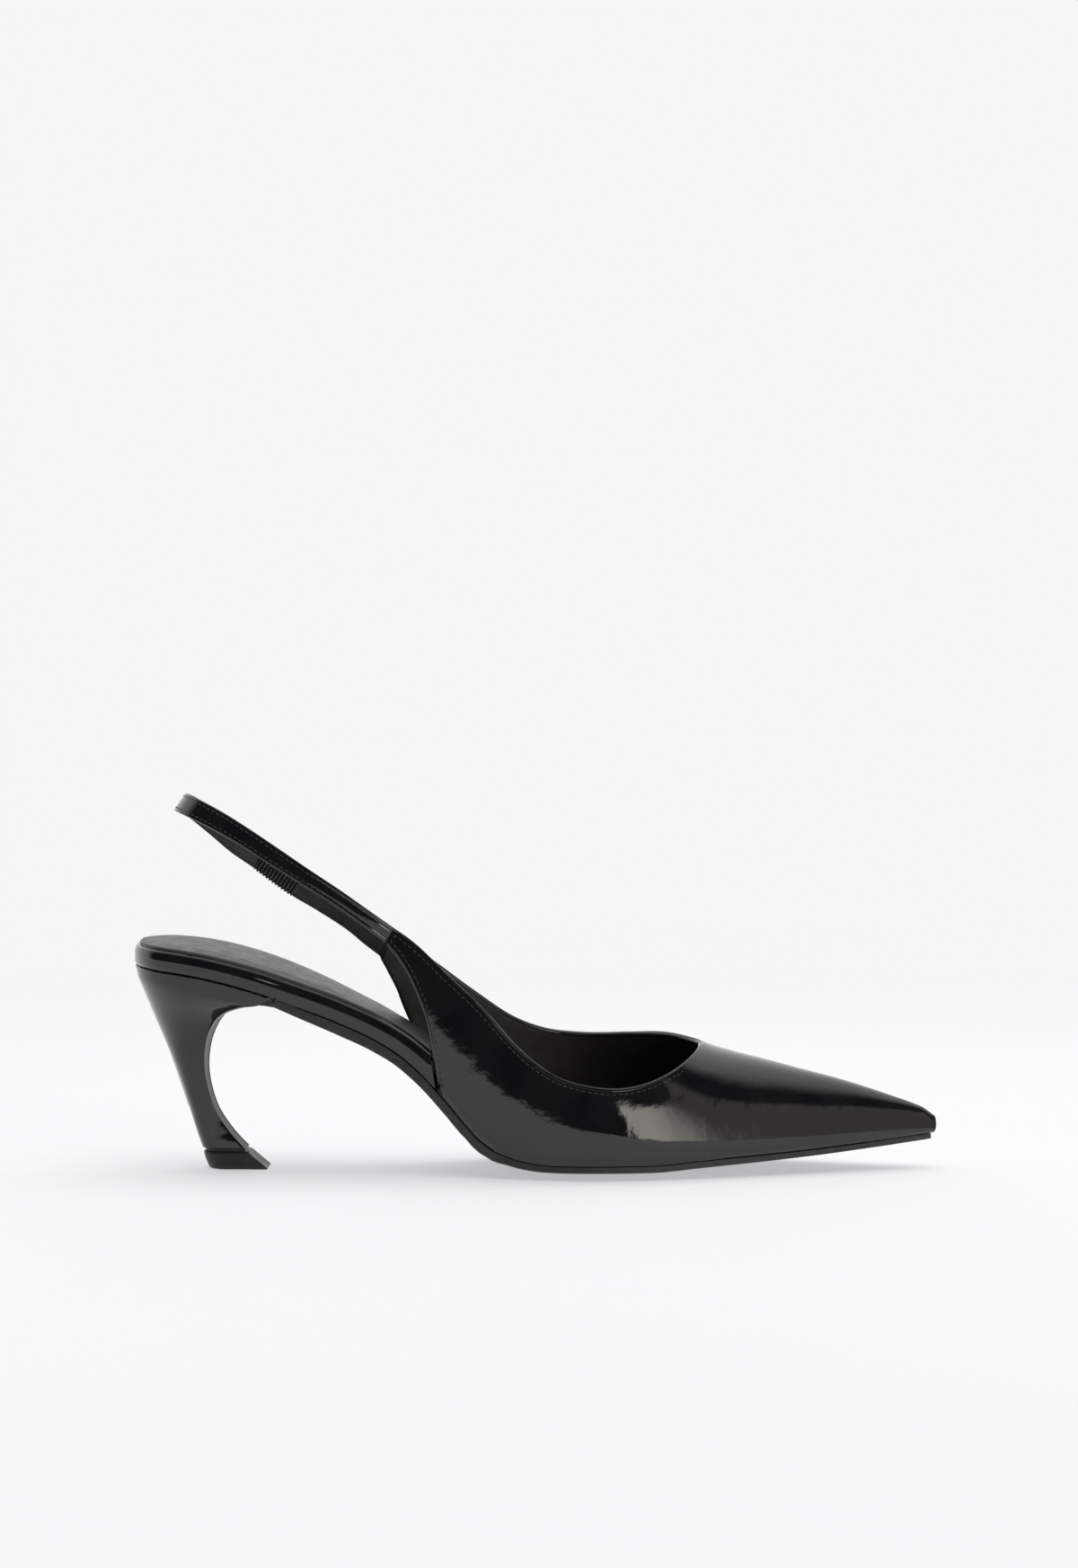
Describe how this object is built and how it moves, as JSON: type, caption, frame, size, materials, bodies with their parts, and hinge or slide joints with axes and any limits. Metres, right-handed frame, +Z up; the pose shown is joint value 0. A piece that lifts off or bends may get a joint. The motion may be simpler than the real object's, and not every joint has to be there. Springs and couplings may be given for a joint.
{
  "type": "high heel pump",
  "caption": "Pointed slingback pump in black patent leather with a sculpted covered heel, gathered elastic strap and satin foot bed.",
  "frame": {"origin": "middle of the bounding box's base, on the floor under the shoe", "axes": "+X to the toe, +Z up, -Y the outer (lateral) side of the right foot"},
  "size_m": [0.2498, 0.0755, 0.1175],
  "materials": {
    "patent_leather": "mirror gloss patent",
    "lining_leather": "matte",
    "sock_leather": "satin",
    "sole_leather": "matte, painted edge",
    "top_piece": "satin",
    "insole_board": "matte",
    "shank_board": "matte",
    "spring_steel": "satin",
    "rivet_brass": "satin",
    "latex_foam": "matte",
    "cork_filler": "matte",
    "stiffener": "matte",
    "elastic_web": "matte",
    "heel_plastic": "matte"
  },
  "bodies": {
    "shoe": {"vamp_upper": "patent_leather", "upper_lining": "lining_leather", "toe_puff": "stiffener", "topline_tape_lateral": "stiffener", "topline_tape_medial": "stiffener", "insole_rim_cover": "patent_leather", "outsole": "sole_leather", "insole_board": "insole_board", "shank_board": "shank_board", "steel_shank": "spring_steel", "heel_pad": "latex_foam", "ball_pad": "latex_foam", "bottom_filler": "cork_filler", "sock": "sock_leather", "heel_core": "heel_plastic", "heel_cover": "patent_leather", "heel_tip": "top_piece", "heel_tip_pin": "spring_steel", "heel_nail_1": "spring_steel", "heel_nail_2": "spring_steel", "heel_nail_3": "spring_steel", "heel_nail_4": "spring_steel", "heel_screw": "spring_steel", "shank_rivet_rear": "rivet_brass", "shank_rivet_front": "rivet_brass"},
    "strap_base": {"tab_outer": "patent_leather", "tab_lining": "lining_leather", "elastic_cover": "patent_leather", "elastic_band": "elastic_web", "elastic_lining": "lining_leather"},
    "strap_loop": {"strap_outer": "patent_leather", "strap_lining": "lining_leather"}
  },
  "joints": [
    {"name": "strap_swing", "type": "hinge", "parent": "shoe", "child": "strap_base", "pos_m": [-0.0469, -0.0219, 0.0757], "axis": [-0.1022, 0.9905, -0.0925], "range_deg": [-28, 22], "stiffness_Nm_per_rad": 0.25},
    {"name": "elastic_stretch", "type": "hinge", "parent": "strap_base", "child": "strap_loop", "pos_m": [-0.0469, -0.0219, 0.0757], "axis": [0.5291, 0, 0.8486], "range_deg": [0, 5], "stiffness_Nm_per_rad": 0.9}
  ]
}
